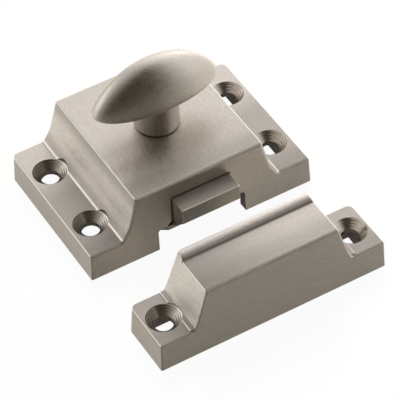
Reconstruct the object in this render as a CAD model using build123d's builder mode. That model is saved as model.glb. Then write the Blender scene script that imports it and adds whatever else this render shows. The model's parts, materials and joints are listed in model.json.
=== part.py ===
from build123d import *
import os
from math import cos, radians, sin, tan

# Cupboard catch latch and its keeper, in millimetres.
# The origin is on the mounting plane, under the knob's axis and amid the latch's four screw holes.
# X runs along the latch, Y from the wall where the bolt comes out to the back, Z away from the door.

os.makedirs("parts", exist_ok=True)

# Both castings
foot_fillet = 0.8
flare_fillet = 6.0
end_draft = 0.3
edge_round = 0.35
front_round = 0.65
back_corner_round = 1.5
smooth_angle = 5.0
wall = 2.3
flange_web = 2.9
screw_hole_radius = 2.05
countersink_radius = 3.8
countersink_angle = 90.0
countersink_lift = 0.1

# Case
case_length = 54.0
case_depth = 36.2
case_height = 17.6
case_top_length = 30.6
case_flange_height = 6.85
case_flank_lean = 14.0
case_foot_height = 3.2
case_foot_reach = 1.8
case_back_lean = 4.0
case_back_wall = 2.8
front_to_knob = 17.8
latch_screw_spacing_x = 44.2
latch_screw_spacing_y = 18.0
notch_length = 21.2
notch_height = 5.9
notch_chamfer = 0.6
slot_clearance = 0.25
slot_flare = 1.2
slot_round = 0.4
boss_radius = 6.0
boss_length = 1.2

# Keeper
keeper_gap = 15.6
keeper_length = 54.0
keeper_depth = 13.8
keeper_height = 17.3
keeper_top_length = 31.2
keeper_flange_height = 7.3
keeper_flank_lean = 16.5
keeper_foot_height = 2.0
keeper_foot_reach = 0.85
keeper_back_lean = 5.7
keeper_back_wall = 2.9
keeper_edge_round = 0.7
keeper_screw_spacing = 44.8
keeper_screw_setback = 6.6
ledge_height = 0.5
ledge_reach = 0.95
ledge_round = 0.3
lip_height = 1.3
lip_foot = 9.5
lip_riser = 0.9
lip_slope = 0.15
lip_foot_fillet = 0.4
lip_front_round = 1.8
lip_back_round = 0.5
pocket_clearance = 0.6

# Knob
head_length = 29.2
head_width = 12.3
head_middle = 26.4
dome_height = 9.2
dome_side = 1.84
dome_crown = 9.35
underside_height = 1.9
underside_side = 1.05
underside_middle = 8.05
neck_radius = 4.95
neck_round = 0.3
neck_fillet = 0.7
knob_gap = 0.25
knob_turn = 45.0
spindle_radius = 3.0
spindle_clearance = 0.05
spindle_across_flats = 4.4

# Driver on the spindle, under the case's boss
thrust_washer_radius = 4.8
thrust_washer_thickness = 0.6
thrust_gap = 0.1
driver_thickness = 2.0
driver_hub_radius = 4.6
driver_arm = 6.4
driver_arm_radius = 2.3
square_clearance = 0.05
clamp_gap = 0.1
pin_radius = 1.25
pin_fit = 0.01
pin_reach = 2.7
driver_washer_radius = 2.75
driver_washer_thickness = 0.5
driver_washer_split = 0.5
driver_screw_radius = 1.5
driver_screw_length = 7.0
driver_screw_head_radius = 2.75
driver_screw_head_height = 1.6
driver_screw_head_round = 0.5
screw_slot_width = 0.7
screw_slot_depth = 0.7
thread_clearance = 0.05

# Bolt
bolt_width = 14.0
bolt_bottom = 4.9
bolt_top = 13.55
bolt_reach = 4.5
bolt_face_height = 3.85
bolt_ridge_round = 0.45
bolt_edge_round = 0.25
hub_gap = 0.6
tail_width = 20.4
tail_bottom = 6.0
tail_thickness = 3.0
window_width = 9.0
window_gap = 0.6
window_rim = 1.2
pin_slot_side_gap = 0.3
pin_slot_end_gap = 0.65
spring_bar_thickness = 2.0
spring_bar_top = 10.2
stop_gap = 0.1

# Base plate and its screws
plate_gap = 0.3
plate_thickness = 1.2
plate_end_gap = 0.55
plate_side_gap = 0.1
tongue_length = 19.6
tongue_setback = 1.0
tongue_corner = 2.2
plate_screw_end_inset = 2.6
plate_screw_side_inset = 2.2
plate_hole_radius = 1.35
plate_boss_radius = 2.4
plate_screw_radius = 1.2
plate_screw_length = 6.0
plate_screw_head_radius = 2.2
plate_screw_head_height = 1.2
plate_screw_head_round = 0.5
pilot_end_gap = 0.7

# Springs
spring_spacing = 15.2
spring_height = 7.6
spring_radius = 2.05
spring_wire_radius = 0.25
spring_turns = 7
spring_end_gap = 0.02
nub_radius = 1.3
nub_length = 1.5

# Places worked out from the sizes
case_slope = tan(radians(case_flank_lean))
keeper_slope = tan(radians(keeper_flank_lean))
case_front = -front_to_knob
case_back = case_front + case_depth
case_inner_front = case_front + wall
case_inner_back = case_back - case_back_wall
case_inner_top = case_height - wall
bolt_travel = driver_arm * sin(radians(knob_turn))
bolt_front = case_front - bolt_reach
slot_top = bolt_top + slot_clearance
slot_half = bolt_width / 2 + slot_clearance
boss_bottom = case_inner_top - boss_length
thrust_washer_bottom = boss_bottom - thrust_gap - thrust_washer_thickness
driver_bottom = thrust_washer_bottom - driver_thickness
driver_washer_bottom = driver_bottom - driver_washer_thickness
block_back = -driver_hub_radius - hub_gap - bolt_travel
tail_front = case_inner_front + stop_gap
tail_top = tail_bottom + tail_thickness
window_front = -driver_screw_head_radius - window_gap - bolt_travel
window_back = driver_screw_head_radius + window_gap
spring_bar_front = window_back + window_rim
spring_bar_back = spring_bar_front + spring_bar_thickness
plate_top = bolt_bottom - plate_gap
plate_bottom = plate_top - plate_thickness
plate_front = case_inner_front + plate_side_gap
plate_back = case_inner_back - plate_side_gap
case_wall_across = wall / cos(radians(case_flank_lean))
plate_half = case_top_length / 2 + (case_height - plate_top) * case_slope - case_wall_across - plate_end_gap
plate_screw_x = plate_half - plate_screw_end_inset
plate_screw_places = [
    (x, y)
    for x in (-plate_screw_x, plate_screw_x)
    for y in (case_inner_front + plate_screw_side_inset, case_inner_back - plate_screw_side_inset)
]
tongue_front = case_front + tongue_setback
keeper_back = case_front - keeper_gap
keeper_front = keeper_back - keeper_depth
keeper_screw_y = keeper_front + keeper_screw_setback
lip_top = keeper_height + lip_height
keeper_foot_rise = keeper_height - keeper_flange_height - keeper_foot_height
keeper_foot_x = keeper_top_length / 2 + keeper_foot_rise * keeper_slope + keeper_foot_reach
keeper_foot_lean = (keeper_flange_height + ledge_height) * tan(radians(keeper_back_lean))


def end_outline(length, top_length, height, flange_height, lean, foot_height, foot_reach, rise=0.0):
    """A casting seen from the front: flanges, flared feet and flanks at a lean in degrees.

    The top is top_length long at height, and the flanks run on above it by rise.
    """
    slope = tan(radians(lean))
    flare_z = flange_height + foot_height
    flare_x = top_length / 2 + (height - flare_z) * slope
    with BuildSketch() as outline:
        with BuildLine():
            FilletPolyline(
                (0, 0),
                (length / 2, 0),
                (length / 2 - end_draft, flange_height),
                (flare_x + foot_reach, flange_height),
                (flare_x, flare_z),
                (top_length / 2 - rise * slope, height + rise),
                (0, height + rise),
                radius=[0, 0, foot_fillet, flare_fillet, 0],
            )
            mirror(about=Plane.YZ)
        make_face()
    return outline.sketch


def inner_outline(length, top_length, height, flange_height, lean):
    """The hollow under a casting, seen from the front."""
    slope = tan(radians(lean))
    wall_across = wall / cos(radians(lean))
    web_bottom = flange_height - flange_web
    inner_top = height - wall
    with BuildSketch() as outline:
        with BuildLine():
            Polyline(
                (0, 0),
                (length / 2 - wall, 0),
                (length / 2 - wall, web_bottom),
                (top_length / 2 + (height - web_bottom) * slope - wall_across, web_bottom),
                (top_length / 2 + (height - inner_top) * slope - wall_across, inner_top),
                (0, inner_top),
            )
            mirror(about=Plane.YZ)
        make_face()
    return outline.sketch


def back_corners(casting, length):
    """The two upright edges at the back of the flanges' ends."""
    back = casting.faces().sort_by(Axis.Y)[-1]
    return back.edges().filter_by(lambda edge: abs(edge.center().X) > length / 2 - end_draft)


def front_edges(casting, length):
    """The edges along the top of the front wall, from one flange's end to the other's."""
    front = casting.faces().sort_by(Axis.Y)[0]
    return front.edges().filter_by(
        lambda edge: edge.center().Z > edge_round and abs(edge.center().X) < length / 2 - end_draft
    )


def sharp_edges(casting):
    """The edges above the mounting plane where two faces meet at a corner."""
    chosen = ShapeList()
    for edge in casting.edges():
        faces = [face for face in casting.faces() if edge in face.edges()]
        angle = faces[0].normal_at(edge @ 0.5).get_angle(faces[-1].normal_at(edge @ 0.5))
        if angle > smooth_angle and edge.center().Z > edge_round:
            chosen.append(edge)
    return chosen


case_outline = end_outline(
    case_length,
    case_top_length,
    case_height,
    case_flange_height,
    case_flank_lean,
    case_foot_height,
    case_foot_reach,
)
case_hollow = inner_outline(case_length, case_top_length, case_height, case_flange_height, case_flank_lean)
keeper_outline = end_outline(
    keeper_length,
    keeper_top_length,
    keeper_height,
    keeper_flange_height,
    keeper_flank_lean,
    keeper_foot_height,
    keeper_foot_reach,
    rise=lip_height,
)
keeper_hollow = inner_outline(
    keeper_length, keeper_top_length, keeper_height, keeper_flange_height, keeper_flank_lean
)


# Case: one casting, hollow underneath
with BuildPart() as case:
    with BuildSketch(Plane.XZ.offset(-case_front)):
        add(case_outline)
    extrude(amount=-case_depth)
    back_normal = (0, cos(radians(case_back_lean)), sin(radians(case_back_lean)))
    split(bisect_by=Plane(origin=(0, case_back, 0), z_dir=back_normal), keep=Keep.BOTTOM)
    fillet(back_corners(case.part, case_length), back_corner_round)
    fillet(front_edges(case.part, case_length), front_round)
    fillet(sharp_edges(case.part), edge_round)

    # Hollow
    with BuildSketch(Plane.XZ.offset(-case_inner_front)):
        add(case_hollow)
    extrude(amount=case_inner_front - case_inner_back, mode=Mode.SUBTRACT)

    # Notch for the base plate's tongue, and slot for the bolt above it
    with BuildSketch(Plane.XZ.offset(-case_front)):
        with BuildLine():
            FilletPolyline(
                (0, 0),
                (notch_length / 2, 0),
                (notch_length / 2, notch_height - notch_chamfer),
                (notch_length / 2 - notch_chamfer, notch_height),
                (slot_half + slot_flare, notch_height),
                (slot_half, notch_height + slot_flare),
                (slot_half, slot_top),
                (0, slot_top),
                radius=[0, 0, 0, 0, 0, slot_round],
            )
            mirror(about=Plane.YZ)
        make_face()
    extrude(amount=-wall, mode=Mode.SUBTRACT)

    # Spindle boss and hole
    with BuildSketch(Plane.XY.offset(boss_bottom)):
        Circle(boss_radius)
    extrude(amount=boss_length)
    with Locations((0, 0, case_height)):
        Hole(spindle_radius + spindle_clearance)

    # Bosses for the base plate's screws
    with BuildSketch(Plane.XY.offset(plate_top)):
        with Locations(*plate_screw_places):
            Circle(plate_boss_radius)
    extrude(amount=case_inner_top - plate_top)
    with BuildSketch(Plane.XY.offset(plate_top)):
        with Locations(*plate_screw_places):
            Circle(plate_screw_radius + thread_clearance)
    extrude(amount=plate_screw_length - plate_thickness + pilot_end_gap, mode=Mode.SUBTRACT)

    # Nubs that hold the springs
    with BuildSketch(Plane.XZ.offset(-case_inner_back)):
        with Locations((-spring_spacing / 2, spring_height), (spring_spacing / 2, spring_height)):
            Circle(nub_radius)
    extrude(amount=nub_length)

    # Holes for the wood screws
    with Locations((0, 0, case_flange_height + countersink_lift)):
        with GridLocations(latch_screw_spacing_x, latch_screw_spacing_y, 2, 2):
            CounterSinkHole(
                radius=screw_hole_radius,
                counter_sink_radius=countersink_radius + countersink_lift,
                counter_sink_angle=countersink_angle,
            )
case.part.label = "case"
export_step(case.part, "parts/case.step")


# Keeper: one casting, hollow underneath, open at the back for the bolt
with BuildPart() as keeper:
    with BuildSketch(Plane.XZ.offset(-keeper_front)):
        add(keeper_outline)
    extrude(amount=-keeper_depth)
    with BuildSketch(Plane.YZ):
        with BuildLine():
            FilletPolyline(
                (keeper_front, 0),
                (keeper_front, keeper_height),
                (keeper_front + lip_foot, keeper_height),
                (keeper_front + lip_foot + lip_riser, lip_top - lip_slope),
                (keeper_back - lip_top * tan(radians(keeper_back_lean)), lip_top),
                (keeper_back, 0),
                radius=[0, keeper_edge_round, lip_foot_fillet, lip_front_round, lip_back_round, 0],
                close=True,
            )
        make_face()
    extrude(amount=keeper_length, both=True, mode=Mode.INTERSECT)
    fillet(back_corners(keeper.part, keeper_length), back_corner_round)
    fillet(sharp_edges(keeper.part), edge_round)

    # Ledge at the flanks' feet
    with BuildSketch(Plane.XZ.offset(-keeper_front - edge_round)):
        with Locations((0, keeper_flange_height)):
            RectangleRounded(2 * (keeper_foot_x + ledge_reach), 2 * ledge_height, ledge_round)
    extrude(amount=2 * edge_round + keeper_foot_lean - keeper_depth)

    # Hollow, with a pocket for the bolt at the back
    with BuildSketch(Plane.XZ.offset(-keeper_front - wall)):
        add(keeper_hollow)
    extrude(amount=wall + keeper_back_wall - keeper_depth, mode=Mode.SUBTRACT)
    with BuildSketch(Plane.XY):
        with Locations((0, keeper_back)):
            Rectangle(bolt_width + 2 * pocket_clearance, 2 * keeper_back_wall)
    extrude(amount=bolt_top + pocket_clearance, mode=Mode.SUBTRACT)

    # Holes for the wood screws
    with Locations((0, keeper_screw_y, keeper_flange_height + countersink_lift)):
        with GridLocations(keeper_screw_spacing, 0, 2, 1):
            CounterSinkHole(
                radius=screw_hole_radius,
                counter_sink_radius=countersink_radius + countersink_lift,
                counter_sink_angle=countersink_angle,
            )
keeper.part.label = "keeper"
export_step(keeper.part, "parts/keeper.step")


# Knob: oval head, round neck and a spindle with a squared end, in one casting
with BuildPart() as knob:
    with BuildSketch(Plane.XZ):
        with BuildLine():
            Bezier(
                (0, head_middle - underside_height),
                (underside_middle, head_middle - underside_height),
                (head_length / 2, head_middle - underside_side),
                (head_length / 2, head_middle),
            )
            Bezier(
                (head_length / 2, head_middle),
                (head_length / 2, head_middle + dome_side),
                (dome_crown, head_middle + dome_height),
                (0, head_middle + dome_height),
            )
            Line((0, head_middle + dome_height), (0, head_middle - underside_height))
        make_face()
    revolve(axis=Axis.Z)
    scale(by=(1, head_width / head_length, 1))
    with BuildSketch(Plane.XY.offset(case_height + knob_gap)):
        Circle(neck_radius)
    extrude(amount=head_middle - case_height - knob_gap)
    fillet(knob.edges().filter_by(GeomType.CIRCLE).sort_by(Axis.Z)[0], neck_round)
    fillet(knob.edges().filter_by(GeomType.BSPLINE).sort_by(Axis.Z)[0], neck_fillet)
    with BuildSketch(Plane.XY.offset(thrust_washer_bottom)):
        Circle(spindle_radius)
    extrude(amount=case_height + knob_gap - thrust_washer_bottom)
    with BuildSketch(Plane.XY.offset(driver_bottom + clamp_gap)):
        Circle(spindle_radius)
        Rectangle(spindle_across_flats, spindle_across_flats, mode=Mode.INTERSECT)
    extrude(amount=driver_thickness - clamp_gap)
    with BuildSketch(Plane.XY.offset(driver_bottom)):
        Circle(driver_screw_radius + thread_clearance)
    extrude(amount=driver_screw_length, mode=Mode.SUBTRACT)
knob.part.label = "knob"
export_step(knob.part, "parts/knob.step")


# Thrust washer between the case's boss and the driver
with BuildPart() as thrust_washer:
    with BuildSketch(Plane.XY.offset(thrust_washer_bottom)):
        Circle(thrust_washer_radius)
        Circle(spindle_radius + spindle_clearance, mode=Mode.SUBTRACT)
    extrude(amount=thrust_washer_thickness)
thrust_washer.part.label = "thrust_washer"
export_step(thrust_washer.part, "parts/thrust_washer.step")


# Driver: lever with a square hole for the spindle
with BuildPart() as driver:
    with BuildSketch(Plane.XY.offset(driver_bottom)):
        Circle(driver_hub_radius)
        with Locations((driver_arm, 0)):
            Circle(driver_arm_radius)
        make_hull()
        with Locations((driver_arm, 0)):
            Circle(pin_radius + pin_fit, mode=Mode.SUBTRACT)
    extrude(amount=driver_thickness)
    with BuildSketch(Plane.XY.offset(driver_bottom)):
        Circle(spindle_radius + square_clearance)
        hole_across_flats = spindle_across_flats + 2 * square_clearance
        Rectangle(hole_across_flats, hole_across_flats, mode=Mode.INTERSECT)
    extrude(amount=driver_thickness, mode=Mode.SUBTRACT)
driver.part.label = "driver"
export_step(driver.part, "parts/driver.step")


# Drive pin, pressed in the driver and hanging in the bolt's slot
with BuildPart() as drive_pin:
    with BuildSketch(Plane.XY.offset(tail_top - pin_reach)):
        with Locations((driver_arm, 0)):
            Circle(pin_radius)
    extrude(amount=thrust_washer_bottom - tail_top + pin_reach)
    chamfer(drive_pin.faces().sort_by(Axis.Z)[0].edges(), bolt_edge_round)
drive_pin.part.label = "drive_pin"
export_step(drive_pin.part, "parts/drive_pin.step")


# Split washer under the driver's screw
with BuildPart() as driver_washer:
    with BuildSketch(Plane.XY.offset(driver_washer_bottom)):
        Circle(driver_washer_radius)
        Circle(driver_screw_radius + thread_clearance, mode=Mode.SUBTRACT)
        with Locations((0, -driver_washer_radius)):
            Rectangle(driver_washer_split, 2 * driver_washer_radius, mode=Mode.SUBTRACT)
    extrude(amount=driver_washer_thickness)
driver_washer.part.label = "driver_washer"
export_step(driver_washer.part, "parts/driver_washer.step")


# Slotted screw that holds the driver on the spindle
with BuildPart() as driver_screw:
    with BuildSketch(Plane.XY.offset(driver_washer_bottom - driver_screw_head_height)):
        Circle(driver_screw_head_radius)
    extrude(amount=driver_screw_head_height)
    fillet(driver_screw.faces().sort_by(Axis.Z)[0].edges(), driver_screw_head_round)
    with BuildSketch(Plane.XY.offset(driver_washer_bottom)):
        Circle(driver_screw_radius)
    extrude(amount=driver_screw_length)
    with BuildSketch(Plane.XY.offset(driver_washer_bottom - driver_screw_head_height)):
        Rectangle(2 * driver_screw_head_radius, screw_slot_width)
    extrude(amount=screw_slot_depth, mode=Mode.SUBTRACT)
driver_screw.part.label = "driver_screw"
export_step(driver_screw.part, "parts/driver_screw.step")


# Bolt: nose with a bevel underneath, then a flat tail with a slot for the drive pin
with BuildPart() as bolt:
    bevel = bolt_top - bolt_face_height - bolt_bottom
    with BuildSketch(Plane.YZ):
        with BuildLine():
            FilletPolyline(
                (bolt_front, bolt_top - bolt_face_height),
                (bolt_front, bolt_top),
                (block_back, bolt_top),
                (block_back, bolt_bottom),
                (bolt_front + bevel, bolt_bottom),
                radius=[bolt_edge_round, bolt_ridge_round, bolt_edge_round, bolt_edge_round, bolt_edge_round],
                close=True,
            )
        make_face()
    extrude(amount=bolt_width / 2, both=True)
    fillet(bolt.faces().filter_by(Axis.X).edges(), bolt_edge_round)
    with BuildSketch(Plane.XY.offset(tail_bottom)):
        with BuildLine():
            Polyline(
                (-tail_width / 2, tail_front),
                (tail_width / 2, tail_front),
                (tail_width / 2, spring_bar_back),
                (-tail_width / 2, spring_bar_back),
                close=True,
            )
        make_face()
        with Locations((0, window_front)):
            Rectangle(
                window_width, window_back - window_front, align=(Align.CENTER, Align.MIN), mode=Mode.SUBTRACT
            )
        pin_slot_width = 2 * (pin_radius + pin_slot_side_gap)
        Rectangle(
            driver_arm + pin_radius + pin_slot_end_gap,
            pin_slot_width,
            align=(Align.MIN, Align.CENTER),
            mode=Mode.SUBTRACT,
        )
    extrude(amount=tail_thickness)
    with BuildSketch(Plane.XY.offset(bolt_bottom)):
        with Locations((0, spring_bar_front)):
            Rectangle(tail_width, spring_bar_thickness, align=(Align.CENTER, Align.MIN))
    extrude(amount=spring_bar_top - bolt_bottom)
    with BuildSketch(Plane.XZ.offset(-spring_bar_back)):
        with Locations((-spring_spacing / 2, spring_height), (spring_spacing / 2, spring_height)):
            Circle(nub_radius)
    extrude(amount=-nub_length)
bolt.part.label = "bolt"
export_step(bolt.part, "parts/bolt.step")


# Base plate: closes the case from below, and its tongue shows in the notch
with BuildPart() as base_plate:
    with BuildSketch(Plane.XY.offset(plate_bottom)):
        with BuildLine():
            Polyline(
                (0, tongue_front),
                (tongue_length / 2 - tongue_corner, tongue_front),
                (tongue_length / 2, plate_front),
                (plate_half, plate_front),
                (plate_half, plate_back),
                (0, plate_back),
            )
            mirror(about=Plane.YZ)
        make_face()
        with Locations(*plate_screw_places):
            Circle(plate_hole_radius, mode=Mode.SUBTRACT)
    extrude(amount=plate_thickness)
base_plate.part.label = "base_plate"
export_step(base_plate.part, "parts/base_plate.step")


# Four screws that hold the base plate
for number, place in enumerate(plate_screw_places, start=1):
    with BuildPart() as plate_screw:
        with BuildSketch(Plane.XY.offset(plate_bottom - plate_screw_head_height)):
            with Locations(place):
                Circle(plate_screw_head_radius)
        extrude(amount=plate_screw_head_height)
        fillet(plate_screw.faces().sort_by(Axis.Z)[0].edges(), plate_screw_head_round)
        with BuildSketch(Plane.XY.offset(plate_bottom)):
            with Locations(place):
                Circle(plate_screw_radius)
        extrude(amount=plate_screw_length)
        with BuildSketch(Plane.XY.offset(plate_bottom - plate_screw_head_height)):
            with Locations(place):
                Rectangle(2 * plate_screw_head_radius, screw_slot_width)
        extrude(amount=screw_slot_depth, mode=Mode.SUBTRACT)
    plate_screw.part.label = f"base_plate_screw_{number}"
    export_step(plate_screw.part, f"parts/base_plate_screw_{number}.step")


# Two springs between the bolt's bar and the case's back wall
spring_start = spring_bar_back + spring_wire_radius + spring_end_gap
spring_end = case_inner_back - spring_wire_radius - spring_end_gap
for side, side_x in (("left", -spring_spacing / 2), ("right", spring_spacing / 2)):
    with BuildPart() as spring:
        with BuildLine() as coil:
            Helix(
                pitch=(spring_end - spring_start) / spring_turns,
                height=spring_end - spring_start,
                radius=spring_radius,
                center=(side_x, spring_start, spring_height),
                direction=(0, 1, 0),
            )
        with BuildSketch(Plane(origin=coil.line @ 0, z_dir=coil.line % 0)):
            Circle(spring_wire_radius)
        sweep(is_frenet=True)
    spring.part.label = f"spring_{side}"
    export_step(spring.part, f"parts/spring_{side}.step")
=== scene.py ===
"""Looks of a cupboard catch latch and its keeper, laid out as a Blender add-on and run as a script."""

import json
import math

import bmesh
import bpy
from bpy.props import FloatProperty, FloatVectorProperty, IntProperty, PointerProperty
from mathutils import Matrix, Vector


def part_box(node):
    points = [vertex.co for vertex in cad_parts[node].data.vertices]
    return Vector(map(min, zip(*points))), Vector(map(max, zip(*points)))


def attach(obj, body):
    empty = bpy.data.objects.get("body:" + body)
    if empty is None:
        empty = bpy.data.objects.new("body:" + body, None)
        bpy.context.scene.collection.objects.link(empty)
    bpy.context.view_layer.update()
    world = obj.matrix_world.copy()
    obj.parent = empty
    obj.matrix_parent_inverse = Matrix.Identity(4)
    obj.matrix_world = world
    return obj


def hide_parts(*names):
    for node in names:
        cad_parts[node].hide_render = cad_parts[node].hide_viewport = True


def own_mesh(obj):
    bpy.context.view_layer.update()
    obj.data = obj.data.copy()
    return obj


bl_info = {
    "name": "Cupboard catch looks",
    "version": (1, 0, 0),
    "blender": (4, 5, 0),
    "location": "3D View > Sidebar > Catch",
    "description": "Finishes the latch and keeper of a cupboard catch and sets a plain studio round them",
    "category": "Object",
}

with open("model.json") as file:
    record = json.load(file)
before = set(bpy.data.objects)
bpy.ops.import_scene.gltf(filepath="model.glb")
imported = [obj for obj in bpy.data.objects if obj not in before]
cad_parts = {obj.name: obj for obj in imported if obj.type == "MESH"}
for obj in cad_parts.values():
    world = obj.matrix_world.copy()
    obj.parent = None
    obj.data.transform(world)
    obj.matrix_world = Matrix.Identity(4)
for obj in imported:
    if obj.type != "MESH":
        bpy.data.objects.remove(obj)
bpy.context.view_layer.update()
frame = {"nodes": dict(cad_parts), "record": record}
nodes = frame["nodes"]
mounts = {mount["name"]: mount for mount in frame["record"]["mounts"]}

# How softly one look of the plate ends and the next begins, in metres.
soft_edge = 0.0003


def colour(name, description, default):
    """A property for a colour."""
    return FloatVectorProperty(
        name=name, description=description, default=default, subtype="COLOR", size=3, min=0.0, max=1.0
    )


def length(name, description, default):
    """A property for a length in metres."""
    return FloatProperty(name=name, description=description, default=default, unit="LENGTH", min=0.0)


def angle(name, description, degrees):
    """A property for an angle, kept in radians."""
    return FloatProperty(name=name, description=description, default=math.radians(degrees), subtype="ANGLE")


def share(name, description, default):
    """A property for a share from 0 to 1."""
    return FloatProperty(
        name=name, description=description, default=default, subtype="FACTOR", min=0.0, max=1.0
    )


def tint(name, description, default):
    """A property for a factor that makes a colour darker or lighter."""
    return FloatProperty(name=name, description=description, default=default, min=0.0, max=2.0)


def way(name, description, default):
    """A property for a direction from the part."""
    return FloatVectorProperty(
        name=name, description=description, default=default, subtype="DIRECTION", size=3
    )


def lamp_size(name, default):
    """A property for the width and height of a lamp in metres."""
    return FloatVectorProperty(
        name=name, description="Width and height of that lamp", default=default, unit="LENGTH", size=2
    )


class CatchFinishes(bpy.types.PropertyGroup):
    nickel: colour("Nickel", "Satin nickel plate in full light", (0.640, 0.590, 0.545))
    # The colour of the painted highlights on the flanks, the top, the lip and the edges.
    highlight_nickel: colour("Bright nickel", "Plate that is polished or worn brighter", (0.930, 0.875, 0.835))
    bolt_nickel: colour("Bolt nickel", "Duller plate of the bolt and the base plate", (0.500, 0.470, 0.420))
    nickel_in_holes: colour("Nickel in holes", "Bare turned countersinks", (0.560, 0.520, 0.465))
    nickel_roughness: share("Nickel roughness", "Blur of what the castings reflect", 0.39)
    knob_roughness: share("Knob roughness", "Blur of what the knob reflects", 0.31)
    hole_roughness: share("Hole roughness", "Blur of what the countersinks reflect", 0.26)
    grain_width: length("Grain width", "Width of one brush line", 0.00030)
    grain_length: length("Grain length", "Length of one brush line", 0.0022)
    grain_depth: length("Grain depth", "Depth of the brush lines", 0.000008)
    grain_share: share("Grain share", "Share of the marks that are lines, the rest being speckle", 0.55)
    grain_blur: share("Grain blur", "How far the brush lines change the blur", 0.07)
    fine_width: length("Fine grain width", "Width of the scratches between the brush lines", 0.00005)
    fine_length: length("Fine grain length", "Length of those scratches", 0.004)
    fine_depth: length("Fine grain depth", "Depth of those scratches", 0.000010)
    speckle: length("Speckle", "Size of the fine speckle of the blasted metal", 0.00030)
    mark_dark: tint("Dark marks", "Plate where its marks are darkest", 0.87)
    mark_light: tint("Light marks", "Plate where its marks are lightest", 1.11)
    cloud_size: length("Cloud size", "Size of the faint clouds in the plate", 0.012)
    cloud_share: share("Cloud share", "How far the clouds show", 0.35)
    cloud_dark: tint("Dark clouds", "Plate in the middle of a cloud", 0.88)
    cloud_blur: share("Cloud blur", "How far the clouds change the blur", 0.06)
    # How dark the plate is made where shade is painted on it.
    shade_tint: tint("Dull plate", "Plate where it is wholly dull", 0.38)
    dull_blur: share("Dull blur", "Blur that dull plate adds", 0.08)
    flank_blur: share("Flank blur", "Blur that the leaning flanks add", 0.14)
    # Painted shade in the corner at the foot of the keeper's lip: its tint and how far it covers the plate.
    dirt: tint("Dirt", "Plate under the dirt in a corner", 0.25)
    crease_shade_share: share("Dirt share", "How far that dirt covers the plate", 0.60)
    # Painted highlight on the rounded upper edges, as a lighter copy of the highlight colour.
    edge_highlight: tint("Worn edges", "Bright nickel on the worn edges", 1.05)
    countersink_radius: length("Countersink radius", "Radius of a countersink's rim", 0.0038)
    ring_spacing: length("Ring spacing", "From one turning mark to the next in a countersink", 0.00045)
    ring_depth: length("Ring depth", "Depth of the turning marks", 0.000028)
    zinc: colour("Zinc plate", "Plated steel of screws, washers and driver", (0.600, 0.610, 0.600))
    zinc_roughness: share("Zinc roughness", "Blur of what the zinc plate reflects", 0.30)
    zinc_cloud: length("Zinc cloud", "Size of the clouds in the zinc plate", 0.0015)
    zinc_fine: length("Zinc grain", "Size of the fine grain in the zinc plate", 0.0002)
    spring: colour("Spring wire", "Bright drawn wire", (0.480, 0.470, 0.450))
    wire_roughness: share("Wire roughness", "Least blur of what the wire reflects", 0.24)
    wire_mark_length: length("Wire mark length", "Length of a mark from the die", 0.0006)
    wire_mark_width: length("Wire mark width", "Width of a mark from the die", 0.0001)
    skin_depth: length("Skin depth", "Depth of the marks on zinc plate and wire", 0.000004)


class CatchSprings(bpy.types.PropertyGroup):
    wire_radius: length("Wire radius", "Radius of the spring's wire", 0.00025)
    closed_turns: IntProperty(name="Closed turns", description="Closed turns at each end", default=1, min=1)
    open_turns: IntProperty(
        name="Open turns", description="Turns between the two closed ends", default=5, min=1
    )
    sides: IntProperty(name="Sides", description="Sides of the wire's section", default=12, min=6)
    steps: IntProperty(name="Steps", description="Steps in one turn of the wire", default=40, min=12)


class CatchStage(bpy.types.PropertyGroup):
    azimuth: angle("Azimuth", "Camera's turn round the part, from its front", -27.67)
    elevation: angle("Elevation", "Camera's height above the horizon", 46.23)
    roll: angle("Roll", "Camera's turn about its own view", -3.69)
    distance: length("Distance", "From the camera to what it aims at", 0.58524)
    aim: FloatVectorProperty(
        name="Aim",
        description="The point that the camera looks at",
        default=(0.00188, -0.01362, 0.0044),
        subtype="TRANSLATION",
        size=3,
    )
    lens: FloatProperty(
        name="Lens", description="Focal length on a 36 mm sensor, in millimetres", default=247.8, min=1.0
    )
    floor_colour: colour("Floor", "Plain pale floor", (0.70, 0.68, 0.55))
    floor_shine: colour("Floor shine", "What the floor's soft mirror does to light", (1.0, 0.99, 0.93))
    floor_roughness: share("Floor roughness", "Blur of that soft mirror", 0.3)
    floor_sheen: share("Floor sheen", "Share of the floor's light that it mirrors softly", 0.85)
    floor_reach: length("Floor reach", "Half the floor's side", 2.5)
    floor_white: share("White floor", "How far the floor shows as plain white", 0.95)
    floor_in_metal: share("White floor in metal", "How far reflections show the floor as plain white", 0.05)
    room_dark: colour("Dark room", "The room where neither soft wall lights it", (0.055, 0.046, 0.030))
    room_bright: colour("Soft walls", "Light of the soft walls", (1.0, 0.995, 0.985))
    back_wall: share("Back wall", "Strength of the soft wall behind", 0.68)
    back_way: way("Back wall's way", "Where the soft wall behind has its middle", (-0.26, 0.95, 0.17))
    right_wall: share("Right wall", "Strength of the soft wall at the right", 1.0)
    right_way: way("Right wall's way", "Where the soft wall at the right has its middle", (0.98, 0.17, 0.05))
    lamp_distance: length("Lamp distance", "From the part to each soft lamp", 0.9)
    left_lamp: share("Left lamp", "Strength of the soft lamp behind at the left", 0.60)
    left_lamp_way: way("Left lamp's way", "Where that lamp hangs", (-0.66, 0.70, 0.20))
    left_lamp_size: lamp_size("Left lamp's size", (0.86, 0.50))
    right_lamp: share("Right lamp", "Strength of the soft lamp behind at the right", 0.50)
    right_lamp_way: way("Right lamp's way", "Where that lamp hangs", (0.75, 0.61, 0.28))
    right_lamp_size: lamp_size("Right lamp's size", (0.40, 0.40))


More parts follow.
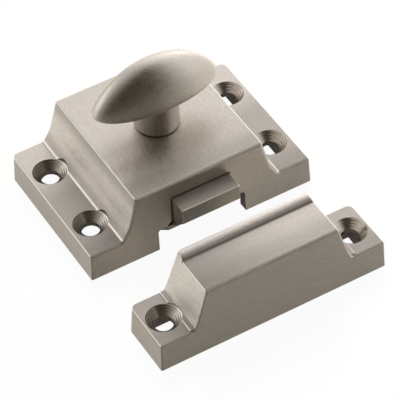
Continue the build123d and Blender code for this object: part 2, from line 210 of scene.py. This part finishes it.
class Value:
    """A number that varies over a surface, so that sums of it read as plain Python."""

    def __init__(self, finish, socket):
        self.finish = finish
        self.socket = socket

    def __add__(self, other):
        return self.finish.sum("ADD", self, other)

    def __radd__(self, other):
        return self.finish.sum("ADD", other, self)

    def __sub__(self, other):
        return self.finish.sum("SUBTRACT", self, other)

    def __rsub__(self, other):
        return self.finish.sum("SUBTRACT", other, self)

    def __mul__(self, other):
        return self.finish.sum("MULTIPLY", self, other)

    def __rmul__(self, other):
        return self.finish.sum("MULTIPLY", other, self)

    def __pow__(self, other):
        return self.finish.sum("POWER", self, other)

    def __abs__(self):
        return self.finish.sum("ABSOLUTE", self)

    def sine(self):
        """The sine of the number, taken as radians."""
        return self.finish.sum("SINE", self)

    def root(self):
        """The square root of the number."""
        return self.finish.sum("SQRT", self)

    def between(self, start, whole):
        """0 as far as start, 1 from whole on and a smooth step between. Either of them may be the larger."""
        node = self.finish.node(
            "ShaderNodeMapRange",
            {"interpolation_type": "SMOOTHSTEP"},
            {"Value": self, "From Min": start, "From Max": whole},
        )
        return Value(self.finish, node.outputs["Result"])

    def above(self, least, edge=soft_edge):
        """1 from least upwards in metres, fading out over an edge below it."""
        return self.between(least - edge, least)

    def below(self, most, edge=soft_edge):
        """1 from most downwards in metres, fading out over an edge above it."""
        return self.between(most + edge, most)


class Finish:
    """A material, and the one way to add nodes to it."""

    def __init__(self, name, world=None):
        self.holder = world or bpy.data.materials.new(name)
        self.holder.use_nodes = True
        self.tree = self.holder.node_tree
        self.tree.nodes.clear()
        self.output = self.node("ShaderNodeOutputWorld" if world else "ShaderNodeOutputMaterial")

    def node(self, kind, settings=None, sockets=None):
        """One node: its settings first, then the values or links of its sockets."""
        made = self.tree.nodes.new(kind)
        for name, setting in (settings or {}).items():
            setattr(made, name, setting)
        for name, value in (sockets or {}).items():
            if isinstance(value, Value):
                value = value.socket
            if isinstance(value, bpy.types.NodeSocket):
                self.tree.links.new(value, made.inputs[name])
            else:
                made.inputs[name].default_value = value
        return made

    def sum(self, operation, *terms):
        """One step of shader maths."""
        node = self.node("ShaderNodeMath", {"operation": operation}, dict(enumerate(terms)))
        return Value(self, node.outputs[0])

    def place(self):
        """The point on the piece as x, y and z."""
        node = self.node("ShaderNodeTexCoord")
        parts = self.node("ShaderNodeSeparateXYZ", None, {"Vector": node.outputs["Object"]})
        return [Value(self, parts.outputs[axis]) for axis in "XYZ"]

    def facing(self):
        """The way the surface faces as x, y and z."""
        node = self.node("ShaderNodeTexCoord")
        parts = self.node("ShaderNodeSeparateXYZ", None, {"Vector": node.outputs["Normal"]})
        return [Value(self, parts.outputs[axis]) for axis in "XYZ"]

    def soft_wall(self, direction, edge, middle, strength):
        """Light of a soft wall of the room, rising from its edge to its middle.

        Both are cosines of the angle from the direction: 1 there, 0 at its side and -1 opposite.
        """
        looked = self.node("ShaderNodeTexCoord")
        node = self.node(
            "ShaderNodeVectorMath",
            {"operation": "DOT_PRODUCT"},
            {0: looked.outputs["Generated"], 1: Vector(direction).normalized()},
        )
        return Value(self, node.outputs["Value"]).between(edge, middle) * strength

    def noise(self, cell, detail=2.0):
        """Noise whose cells have the given size along each axis, in metres."""
        point = self.node("ShaderNodeTexCoord")
        mapping = self.node(
            "ShaderNodeMapping",
            None,
            {"Vector": point.outputs["Object"], "Scale": [1 / size for size in cell]},
        )
        noise = self.node(
            "ShaderNodeTexNoise",
            None,
            {"Vector": mapping.outputs["Vector"], "Scale": 1.0, "Detail": detail, "Roughness": 0.5},
        )
        return Value(self, noise.outputs["Fac"])

    def even_noise(self, size, detail=2.0):
        """Noise whose cells have the same size along each axis, in metres."""
        return self.noise((size, size, size), detail)

    def mix(self, amount, first, second):
        """A colour that goes from first to second as amount goes from 0 to 1."""
        node = self.node("ShaderNodeMix", {"data_type": "RGBA"}, {"Factor": amount})
        colour_a, colour_b, mixed = node.inputs[6], node.inputs[7], node.outputs[2]
        for socket, value in ((colour_a, first), (colour_b, second)):
            if isinstance(value, bpy.types.NodeSocket):
                self.tree.links.new(value, socket)
            else:
                socket.default_value = (*value, 1.0)
        return mixed

    def grain(self, width, run, across):
        """Noise drawn out along Y, or along X where across is 1."""
        return self.noise((width, run, width)) * (1 - across) + self.noise((run, width, width)) * across

    def bump(self, height):
        """A surface normal from a height in metres."""
        node = self.node("ShaderNodeBump", None, {"Height": height, "Distance": 1.0})
        return node.outputs["Normal"]

    def between_shaders(self, amount, first, second):
        """A shader that goes from one node's to another's as amount goes from 0 to 1."""
        shaders = {0: amount, 1: first.outputs[0], 2: second.outputs[0]}
        return self.node("ShaderNodeMixShader", None, shaders)

    def show(self, shader):
        """Links a shader's node to the output."""
        self.tree.links.new(shader.outputs[0], self.output.inputs["Surface"])

    def metal(self, base, roughness, height):
        """Shows the metal shader and returns the finished material."""
        shader = self.node(
            "ShaderNodeBsdfPrincipled",
            None,
            {"Base Color": base, "Metallic": 1.0, "Roughness": roughness, "Normal": self.bump(height)},
        )
        self.show(shader)
        return self.holder


def shade(tone, factor):
    """A colour made darker or lighter."""
    return tuple(part * factor for part in tone)


class Nickel(Finish):
    """Satin nickel plate, brushed along Y, and along X on walls that face the front or the back.

    Above the height lines_turn, where one is given, the lines run along X too. The methods from
    paint_level_shade to paint_edge_highlights paint shade and highlights onto the plate in places, and
    turn_holes turns its countersinks;
    each works over what the ones before it left. Heights and places are in metres from the frame's origin,
    and an amount is the share of the whole change. plated closes it.
    """

    def __init__(self, name, plate, blur, lines_turn=None):
        super().__init__(name)
        looks = bpy.context.scene.catch_finishes
        self.looks = looks
        self.plate = plate
        self.x, self.y, self.z = self.place()
        self.sideways, self.forwards, self.upwards = self.facing()
        # A face counts as level up to about 15 degrees of tilt, and no more past about 30.
        self.level = self.upwards.between(0.85, 0.97)
        across = abs(self.forwards).between(0.6, 0.85)
        if lines_turn is not None:
            turned = self.z.above(lines_turn, edge=0.0002)
            across = across + turned - across * turned
        # Noise keeps near its middle, so that part is stretched to the whole range.
        lines = self.grain(looks.grain_width, looks.grain_length, across).between(0.3, 0.7)
        speckle = self.even_noise(looks.speckle, detail=3.0).between(0.35, 0.65)
        scratches = self.grain(looks.fine_width, looks.fine_length, across)
        clouds = self.even_noise(looks.cloud_size)
        self.marks = lines * looks.grain_share + speckle * (1 - looks.grain_share)
        self.tone = self.brushed(plate)
        self.blend(clouds * looks.cloud_share, shade(plate, looks.cloud_dark))
        self.roughness = blur + (lines - 0.5) * looks.grain_blur + (clouds - 0.5) * looks.cloud_blur
        self.height = lines * looks.grain_depth + scratches * looks.fine_depth

    def brushed(self, metal):
        """A metal's colour, darker and lighter with the brush lines and the speckle."""
        return self.mix(self.marks, shade(metal, self.looks.mark_dark), shade(metal, self.looks.mark_light))

    def blend(self, amount, tone):
        """Lays a colour over the plate by an amount from 0 to 1."""
        self.tone = self.mix(amount, self.tone, tone)

    def dull(self, amount):
        """Paints shade onto the plate, as a darker copy of its colour."""
        self.blend(amount, self.brushed(shade(self.plate, self.looks.shade_tint)))

    def paint_highlight(self, amount):
        """Paints a highlight onto the plate, as a lighter colour."""
        self.blend(amount, self.brushed(self.looks.highlight_nickel))

    def paint_level_shade(self, low, high, amount, kept=0.0):
        """Paints shade onto level faces from the height low to high, apart from where kept is 1, and makes
        them rougher there.
        """
        recess = self.level * self.z.above(low) * self.z.below(high) * (1 - kept)
        self.dull(recess * amount)
        self.roughness = self.roughness + recess * self.looks.dull_blur

    def paint_front_shade(self, front, reach, amount):
        """Paints shade onto level faces along their front, wholly at front and not at all past its reach."""
        self.dull(self.level * self.y.between(front + reach, front) * amount)

    def paint_flank_highlight(self, start, whole, fade, end):
        """Paints a highlight onto leaning flanks between four heights, and blurs them from just below start
        upwards.
        """
        flank = abs(self.sideways).between(0.70, 0.85)
        self.paint_highlight(flank * self.z.between(start, whole) * self.z.between(end, fade))
        self.roughness = self.roughness + flank * self.z.above(start, edge=0.001) * self.looks.flank_blur

    def paint_highlight_band(self, top, start, whole, middle, core, reach, amount):
        """Paints a highlight onto level faces above top along X, from start to whole, in a band of Y round
        middle.
        """
        band = abs(self.y - middle).between(reach, core)
        self.paint_highlight(self.level * self.z.above(top) * self.x.between(start, whole) * band * amount)

    def paint_corner_shade(self, top, right, front, amount):
        """Paints shade onto level faces above top towards a corner at the right and the front."""
        corner = self.x.between(0.0, right) * self.y.between(0.0, front)
        self.dull(self.level * self.z.above(top) * corner * amount)

    def paint_lip_highlight(self, start, whole, half_length):
        """Paints a highlight onto the lip's edge between two heights, twice as strong at its right end as at
        its left.
        """
        edge = self.upwards.between(0.6, 0.95) * self.z.between(start, whole)
        self.paint_highlight(edge * (0.5 + self.x.between(-half_length, half_length) * 0.5))

    def paint_crease_shade(self, y, least, core, reach):
        """Paints shade into the corner that runs along X at y, above a least height."""
        dirt = abs(self.y - y).between(reach, core) * self.z.above(least)
        self.blend(dirt * self.looks.crease_shade_share, shade(self.plate, self.looks.dirt))

    def paint_edge_highlights(self, cross_edges=False):
        """Paints highlights onto the rounded upper edges that run along Y and, with cross_edges, those along
        X too.
        """
        rounded = self.upwards.between(0.50, 0.68) * self.upwards.between(0.97, 0.86)
        lean = abs(self.sideways)
        if cross_edges:
            lean = lean + abs(self.forwards)
        self.blend(rounded * lean.between(0.3, 0.5), shade(self.looks.highlight_nickel, self.looks.edge_highlight))

    def turn_holes(self, mount):
        """Turns the countersinks round a mount's screw holes to bare metal with fine rings."""
        looks = self.looks
        middle_x, middle_y = mount["pos_m"][:2]
        half_x = mount["dims"]["spacing_x_mm"] / 2000
        half_y = mount["dims"].get("spacing_y_mm", 0) / 2000
        from_x = abs(self.x - middle_x) - half_x
        from_y = abs(self.y - middle_y) - half_y
        radius = (from_x ** 2.0 + from_y ** 2.0).root()
        inside = 1 - radius.above(looks.countersink_radius, edge=0.0001)
        rings = (radius * (2 * math.pi / looks.ring_spacing)).sine() * 0.5 + 0.5
        self.blend(inside, looks.nickel_in_holes)
        self.roughness = self.roughness * (1 - inside) + inside * looks.hole_roughness
        self.height = self.height * (1 - inside) + rings * inside * looks.ring_depth

    def plated(self):
        """Closes the material and returns it."""
        return self.metal(self.tone, self.roughness, self.height)


def zinc_plate(name):
    """Zinc plate on pressed or turned steel: cool, with faint clouds."""
    looks = bpy.context.scene.catch_finishes
    finish = Finish(name)
    clouds = finish.even_noise(looks.zinc_cloud, detail=4.0)
    fine = finish.even_noise(looks.zinc_fine)
    tone = finish.mix(clouds, shade(looks.zinc, 0.82), shade(looks.zinc, 1.08))
    roughness = looks.zinc_roughness + (clouds - 0.5) * 0.2
    return finish.metal(tone, roughness, fine * looks.skin_depth)


def drawn_wire(name):
    """Bright spring wire with fine marks from the die."""
    looks = bpy.context.scene.catch_finishes
    finish = Finish(name)
    run, width = looks.wire_mark_length, looks.wire_mark_width
    marks = finish.noise((run, width, run), detail=3.0)
    tone = finish.mix(marks, shade(looks.spring, 0.8), shade(looks.spring, 1.15))
    roughness = looks.wire_roughness + marks * 0.12
    return finish.metal(tone, roughness, marks * looks.skin_depth)


def dress(names, material):
    """Gives CAD nodes a material in place of their plain one."""
    for name in names:
        for slot in nodes[name].material_slots:
            slot.material = material


def finished_piece(name, bm, material, body):
    """Makes an object of a bmesh, smooth and with its faces outwards, that rides on a body."""
    bmesh.ops.recalc_face_normals(bm, faces=bm.faces)
    mesh = bpy.data.meshes.new(name)
    for face in bm.faces:
        face.smooth = True
    bm.to_mesh(mesh)
    bm.free()
    mesh.materials.append(material)
    piece = bpy.data.objects.new(name, mesh)
    bpy.context.scene.collection.objects.link(piece)
    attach(piece, body)
    return piece


def edges_of(geometry):
    """The edges among what a bmesh operator gives back."""
    return [item for item in geometry if isinstance(item, bmesh.types.BMEdge)]


class CATCH_OT_finish_case(bpy.types.Operator):
    """Brushes the case, paints shade and highlights onto it and turns its countersinks"""

    bl_idname = "catch.finish_case"
    bl_label = "Finish case"

    def execute(self, context):
        looks = context.scene.catch_finishes
        low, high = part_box("case")
        top = high.z - 0.0006
        nickel = Nickel("case_nickel", looks.nickel, looks.nickel_roughness)
        # Painted shade on the flange tops, fading out towards the back.
        nickel.paint_level_shade(low=0.0060, high=0.0090, amount=0.35, kept=nickel.y.between(0.0, 0.009))
        # Painted highlight on the leaning flanks, which are also made rougher.
        nickel.paint_flank_highlight(start=0.0080, whole=0.0112, fade=0.0135, end=0.0172)
        # Painted highlight in a band across the top, stronger towards the left.
        nickel.paint_highlight_band(
            top, start=0.004, whole=-0.016, middle=-0.0085, core=0.002, reach=0.006, amount=0.80
        )
        # Painted shade on the top towards its right front corner.
        nickel.paint_corner_shade(top, right=0.012, front=-0.014, amount=0.20)
        # Painted shade along the front of the level faces.
        nickel.paint_front_shade(front=low.y + 0.0013, reach=0.006, amount=0.42)
        # Painted highlights on the rounded upper edges.
        nickel.paint_edge_highlights()
        nickel.turn_holes(mounts["latch_screws"])
        dress(["case"], nickel.plated())
        return {"FINISHED"}


class CATCH_OT_finish_keeper(bpy.types.Operator):
    """Brushes the keeper, paints shade into the corner under its lip and highlights onto it, and turns its
    countersinks
    """

    bl_idname = "catch.finish_keeper"
    bl_label = "Finish keeper"

    def execute(self, context):
        looks = context.scene.catch_finishes
        low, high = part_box("keeper")
        # Just under the plate that the lip rises from.
        lip_foot = 0.0170
        nickel = Nickel("keeper_nickel", looks.nickel, looks.nickel_roughness, lines_turn=lip_foot - 0.001)
        # Painted shade in the valley under the lip, fading out towards the right.
        nickel.paint_level_shade(
            low=lip_foot - 0.0005, high=lip_foot + 0.0006, amount=0.66, kept=nickel.x.between(-0.018, 0.010)
        )
        # Painted shade on the flange tops.
        nickel.paint_level_shade(low=0.0068, high=0.0078, amount=0.26)
        # Painted highlight on the leaning flanks, which are also made rougher.
        nickel.paint_flank_highlight(start=0.0070, whole=0.0073, fade=lip_foot, end=lip_foot + 0.002)
        # Painted shade along the front of the level faces.
        nickel.paint_front_shade(front=low.y + 0.0017, reach=0.006, amount=0.42)
        # Painted highlight on the lip's edge.
        nickel.paint_lip_highlight(start=lip_foot + 0.0009, whole=lip_foot + 0.0013, half_length=0.012)
        # Painted shade in the corner at the foot of the lip.
        nickel.paint_crease_shade(y=high.y - 0.0042, least=lip_foot, core=0.00010, reach=0.00035)
        # Painted highlights on the rounded upper edges.
        nickel.paint_edge_highlights()
        nickel.turn_holes(mounts["keeper_screws"])
        dress(["keeper"], nickel.plated())
        return {"FINISHED"}


class CATCH_OT_finish_knob(bpy.types.Operator):
    """Brushes the knob along its length"""

    bl_idname = "catch.finish_knob"
    bl_label = "Finish knob"

    def execute(self, context):
        looks = context.scene.catch_finishes
        neck_top = 0.0235
        nickel = Nickel("knob_nickel", looks.nickel, looks.knob_roughness, lines_turn=neck_top)
        dress(["knob"], nickel.plated())
        return {"FINISHED"}


class CATCH_OT_finish_bolt(bpy.types.Operator):
    """Brushes the bolt and the base plate across, with painted shade and edge highlights"""

    bl_idname = "catch.finish_bolt"
    bl_label = "Finish bolt and base plate"

    def execute(self, context):
        looks = context.scene.catch_finishes
        # This height is lower than either piece, so that all their lines run along X.
        under_both = 0.001
        nickel = Nickel("bolt_nickel", looks.bolt_nickel, looks.nickel_roughness, lines_turn=under_both)
        # Painted shade on the level faces between 13 and 14 mm high.
        nickel.paint_level_shade(low=0.0130, high=0.0140, amount=0.45)
        # Painted highlights on the rounded upper edges that run both ways.
        nickel.paint_edge_highlights(cross_edges=True)
        dress(["bolt", "base_plate"], nickel.plated())
        return {"FINISHED"}


class CATCH_OT_finish_works(bpy.types.Operator):
    """Plates the driver, its pin, its washers and all the screws"""

    bl_idname = "catch.finish_works"
    bl_label = "Finish driver and screws"

    def execute(self, context):
        screws = [name for name in nodes if name.startswith("base_plate_screw")]
        works = ["driver", "drive_pin", "driver_screw", "driver_washer", "thrust_washer"]
        dress(screws + works, zinc_plate("zinc_plate"))
        return {"FINISHED"}


class CATCH_OT_wind_springs(bpy.types.Operator):
    """Winds the two springs with closed ends"""

    bl_idname = "catch.wind_springs"
    bl_label = "Wind springs"

    def execute(self, context):
        wire = drawn_wire("spring_wire")
        for side in ("left", "right"):
            node = f"spring_{side}"
            low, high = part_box(node)
            coil = self.coil(low, high, context.scene.catch_springs)
            piece = finished_piece(f"coil_{side}", coil, wire, "fixed")
            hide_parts(node)
            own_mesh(piece)
        return {"FINISHED"}

    def coil(self, low, high, sizes):
        """Wire wound round a line along Y that fills the box from low to high."""
        wire = sizes.wire_radius
        middle = (low + high) / 2
        radius = (high.x - low.x) / 2 - wire
        closed_rise = 2 * wire
        closed_length = 2 * sizes.closed_turns * closed_rise
        open_rise = (high.y - low.y - 2 * wire - closed_length) / sizes.open_turns
        closed_end = (sizes.closed_turns, closed_rise)
        bm = bmesh.new()
        start = Matrix.Translation((middle.x + radius, low.y + wire, middle.z))
        bmesh.ops.create_circle(bm, segments=sizes.sides, radius=wire, matrix=start)
        ring = list(bm.edges)
        for turns, rise in (closed_end, (sizes.open_turns, open_rise), closed_end):
            spun = bmesh.ops.spin(
                bm,
                geom=ring,
                cent=middle,
                axis=(0, 1, 0),
                dvec=(0, rise / sizes.steps, 0),
                angle=2 * math.pi * turns,
                steps=sizes.steps * turns,
            )
            ring = edges_of(spun["geom_last"])
        bmesh.ops.holes_fill(bm, edges=[edge for edge in bm.edges if edge.is_boundary])
        return bm


class CATCH_OT_set_stage(bpy.types.Operator):
    """Lays the floor, hangs the lamps and places the camera"""

    bl_idname = "catch.set_stage"
    bl_label = "Set stage"

    def execute(self, context):
        stage = context.scene.catch_stage
        self.lay_floor(context, stage)
        self.light_room(context, stage)
        self.place_camera(context, stage)
        context.scene.view_settings.view_transform = "Standard"
        return {"FINISHED"}

    def lay_floor(self, context, stage):
        """A pale floor with a soft sheen, which the camera sees as nearly plain white."""
        bm = bmesh.new()
        bmesh.ops.create_grid(bm, x_segments=1, y_segments=1, size=stage.floor_reach)
        mesh = bpy.data.meshes.new("floor")
        bm.to_mesh(mesh)
        bm.free()
        floor = bpy.data.objects.new("floor", mesh)
        context.scene.collection.objects.link(floor)
        finish = Finish("pale_floor")
        rays = finish.node("ShaderNodeLightPath")
        seen = (
            Value(finish, rays.outputs["Is Camera Ray"]) * stage.floor_white
            + Value(finish, rays.outputs["Is Transmission Ray"]) * stage.floor_white
            + Value(finish, rays.outputs["Is Glossy Ray"]) * stage.floor_in_metal
        )
        matt = finish.node("ShaderNodeBsdfDiffuse", None, {"Color": (*stage.floor_colour, 1.0)})
        satin = finish.node(
            "ShaderNodeBsdfGlossy",
            None,
            {"Color": (*stage.floor_shine, 1.0), "Roughness": stage.floor_roughness},
        )
        board = finish.between_shaders(stage.floor_sheen, matt, satin)
        white = finish.node("ShaderNodeEmission", None, {"Strength": 1.0})
        finish.show(finish.between_shaders(seen, board, white))
        mesh.materials.append(finish.holder)

    def light_room(self, context, stage):
        """A dim room with a wide soft wall behind the part and a closer one at its right, and two lamps."""
        room = bpy.data.worlds.new("room")
        finish = Finish("room", world=room)
        back = finish.soft_wall(stage.back_way, edge=-0.40, middle=1.10, strength=stage.back_wall)
        right = finish.soft_wall(stage.right_way, edge=0.05, middle=0.75, strength=stage.right_wall)
        rays = finish.node("ShaderNodeLightPath")
        dim = finish.node("ShaderNodeBackground", None, {"Color": (*stage.room_dark, 1.0)})
        lit = finish.node(
            "ShaderNodeBackground", None, {"Color": (*stage.room_bright, 1.0), "Strength": back + right}
        )
        white = finish.node("ShaderNodeBackground", None, {"Color": (1.0, 1.0, 1.0, 1.0)})
        both = finish.node("ShaderNodeAddShader", None, {0: dim.outputs[0], 1: lit.outputs[0]})
        finish.show(finish.between_shaders(rays.outputs["Is Camera Ray"], both, white))
        context.scene.world = room
        self.hang_lamp(context, "lamp_left", stage.left_lamp_way, stage.left_lamp_size, stage.left_lamp)
        self.hang_lamp(context, "lamp_right", stage.right_lamp_way, stage.right_lamp_size, stage.right_lamp)

    def hang_lamp(self, context, name, direction, size, radiance):
        """A soft rectangular lamp of an even radiance that faces the part."""
        light = bpy.data.lights.new(name, "AREA")
        light.shape = "RECTANGLE"
        light.size, light.size_y = size
        light.energy = radiance * math.pi * size[0] * size[1]
        lamp = bpy.data.objects.new(name, light)
        lamp.visible_camera = False
        away = Vector(direction).normalized()
        lamp.location = away * context.scene.catch_stage.lamp_distance
        lamp.rotation_euler = (-away).to_track_quat("-Z", "Y").to_euler()
        context.scene.collection.objects.link(lamp)

    def place_camera(self, context, stage):
        """The photograph's viewpoint: the camera looks down at the part from its left and front."""
        turn = (
            Matrix.Rotation(stage.azimuth, 3, "Z")
            @ Matrix.Rotation(math.pi / 2 - stage.elevation, 3, "X")
            @ Matrix.Rotation(stage.roll, 3, "Z")
        )
        data = bpy.data.cameras.new("camera")
        data.sensor_width = 36.0
        data.lens = stage.lens
        data.clip_start = 0.01
        data.clip_end = 10.0
        camera = bpy.data.objects.new("camera", data)
        camera.location = Vector(stage.aim) + turn @ Vector((0, 0, stage.distance))
        camera.rotation_euler = turn.to_euler()
        context.scene.collection.objects.link(camera)
        context.scene.camera = camera


class CATCH_PT_panel(bpy.types.Panel):
    """Lists the catch's sizes, colours and steps"""

    bl_idname = "CATCH_PT_panel"
    bl_label = "Cupboard catch"
    bl_space_type = "VIEW_3D"
    bl_region_type = "UI"
    bl_category = "Catch"

    def draw(self, context):
        for group in (context.scene.catch_finishes, context.scene.catch_springs, context.scene.catch_stage):
            box = self.layout.box()
            for name in group.__annotations__:
                box.prop(group, name)
        for step in steps:
            self.layout.operator(step.bl_idname)


groups = {"catch_finishes": CatchFinishes, "catch_springs": CatchSprings, "catch_stage": CatchStage}
steps = (
    CATCH_OT_set_stage,
    CATCH_OT_finish_case,
    CATCH_OT_finish_keeper,
    CATCH_OT_finish_knob,
    CATCH_OT_finish_bolt,
    CATCH_OT_finish_works,
    CATCH_OT_wind_springs,
)


def register():
    for kind in (*groups.values(), *steps, CATCH_PT_panel):
        bpy.utils.register_class(kind)
    for name, group in groups.items():
        setattr(bpy.types.Scene, name, PointerProperty(type=group))


def unregister():
    for name in groups:
        delattr(bpy.types.Scene, name)
    for kind in reversed((*groups.values(), *steps, CATCH_PT_panel)):
        bpy.utils.unregister_class(kind)


def main():
    """Runs every step in order."""
    register()
    bpy.ops.catch.set_stage()
    bpy.ops.catch.finish_case()
    bpy.ops.catch.finish_keeper()
    bpy.ops.catch.finish_knob()
    bpy.ops.catch.finish_bolt()
    bpy.ops.catch.finish_works()
    bpy.ops.catch.wind_springs()


if __name__ == "__main__":
    main()
